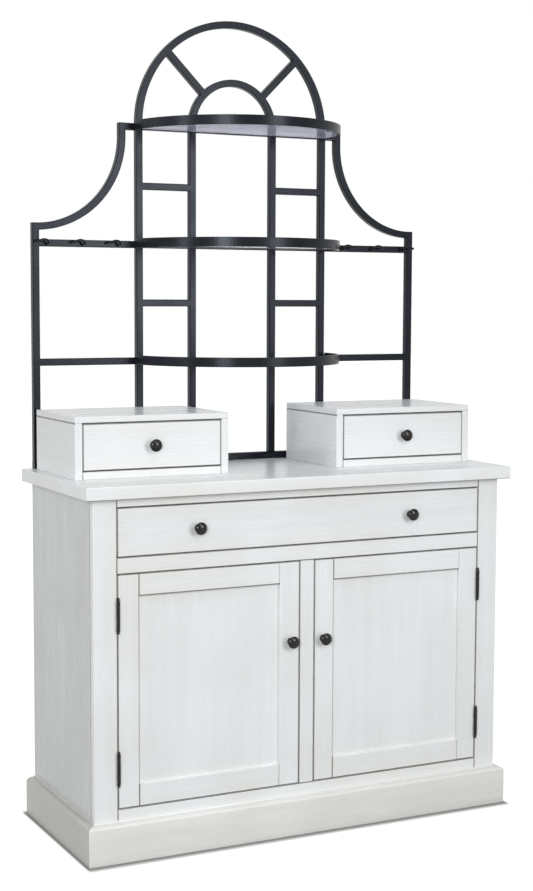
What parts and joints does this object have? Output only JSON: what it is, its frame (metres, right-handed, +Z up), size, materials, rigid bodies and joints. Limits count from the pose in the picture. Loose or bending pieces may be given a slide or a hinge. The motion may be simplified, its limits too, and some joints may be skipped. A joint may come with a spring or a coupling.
{
  "type": "bakers rack",
  "caption": "White sideboard with a wide drawer over two doors, small drawer boxes on top, and an arched black metal rack with half-round glass shelves.",
  "frame": {"origin": "on the floor, under the middle of the whole piece's bounding box", "axes": "+Z up; the front, with its drawers and doors, faces -Y; +X to the right as one faces the front"},
  "size_m": [1.219, 0.49, 2.135],
  "materials": {
    "whitewashed_wood": "whitewashed and wire-brushed, satin",
    "inner_board": "plain sanded board",
    "black_metal": "satin black powder coat",
    "dark_bronze": "dark bronze, satin",
    "shelf_glass": "clear, slightly tinted"
  },
  "bodies": {
    "cabinet": {"top_slab": "whitewashed_wood", "left_side_panel": "whitewashed_wood", "right_side_panel": "whitewashed_wood", "back_panel": "inner_board", "bottom_panel": "inner_board", "inner_shelf": "inner_board", "drawer_bearer": "inner_board", "left_stile": "whitewashed_wood", "right_stile": "whitewashed_wood", "top_rail": "whitewashed_wood", "middle_rail": "whitewashed_wood", "bottom_rail": "whitewashed_wood", "mullion": "whitewashed_wood", "plinth_front": "whitewashed_wood", "plinth_left": "whitewashed_wood", "plinth_right": "whitewashed_wood", "left_lower_hinge_frame_leaf": "dark_bronze", "left_upper_hinge_frame_leaf": "dark_bronze", "right_lower_hinge_frame_leaf": "dark_bronze", "right_upper_hinge_frame_leaf": "dark_bronze", "left_box_carcass": "whitewashed_wood", "left_box_top": "whitewashed_wood", "right_box_carcass": "whitewashed_wood", "right_box_top": "whitewashed_wood", "rack_base_bar": "black_metal", "rack_outer_hoop": "black_metal", "rack_inner_hoop": "black_metal", "rack_left_wing": "black_metal", "rack_right_wing": "black_metal", "rack_left_hook_bar": "black_metal", "rack_right_hook_bar": "black_metal", "rack_left_side_bar": "black_metal", "rack_right_side_bar": "black_metal", "lower_shelf_rim": "black_metal", "middle_shelf_rim": "black_metal", "upper_shelf_rim": "black_metal", "lower_shelf_glass": "shelf_glass", "middle_shelf_glass": "shelf_glass", "upper_shelf_glass": "shelf_glass"},
    "wide_drawer": {"wide_drawer_front": "whitewashed_wood", "wide_drawer_tray": "inner_board", "wide_drawer_knob_left": "dark_bronze", "wide_drawer_knob_right": "dark_bronze"},
    "left_door": {"left_door_frame": "whitewashed_wood", "left_door_panel": "whitewashed_wood", "left_door_knob": "dark_bronze", "left_lower_hinge_door_leaf": "dark_bronze", "left_upper_hinge_door_leaf": "dark_bronze"},
    "right_door": {"right_door_frame": "whitewashed_wood", "right_door_panel": "whitewashed_wood", "right_door_knob": "dark_bronze", "right_lower_hinge_door_leaf": "dark_bronze", "right_upper_hinge_door_leaf": "dark_bronze"},
    "left_box_drawer": {"left_box_drawer_front": "whitewashed_wood", "left_box_drawer_tray": "inner_board", "left_box_knob": "dark_bronze"},
    "right_box_drawer": {"right_box_drawer_front": "whitewashed_wood", "right_box_drawer_tray": "inner_board", "right_box_knob": "dark_bronze"}
  },
  "joints": [
    {"name": "wide_drawer_slide", "type": "slide", "parent": "cabinet", "child": "wide_drawer", "axis": [0, -1, 0], "range_m": [0, 0.3]},
    {"name": "left_door_hinge", "type": "hinge", "parent": "cabinet", "child": "left_door", "pos_m": [-0.5215, -0.223, 0.4222], "axis": [0, 0, -1], "range_deg": [0, 110]},
    {"name": "right_door_hinge", "type": "hinge", "parent": "cabinet", "child": "right_door", "pos_m": [0.5215, -0.223, 0.4222], "axis": [0, 0, 1], "range_deg": [0, 110]},
    {"name": "left_box_drawer_slide", "type": "slide", "parent": "cabinet", "child": "left_box_drawer", "axis": [0, -1, 0], "range_m": [0, 0.19]},
    {"name": "right_box_drawer_slide", "type": "slide", "parent": "cabinet", "child": "right_box_drawer", "axis": [0, -1, 0], "range_m": [0, 0.19]}
  ]
}
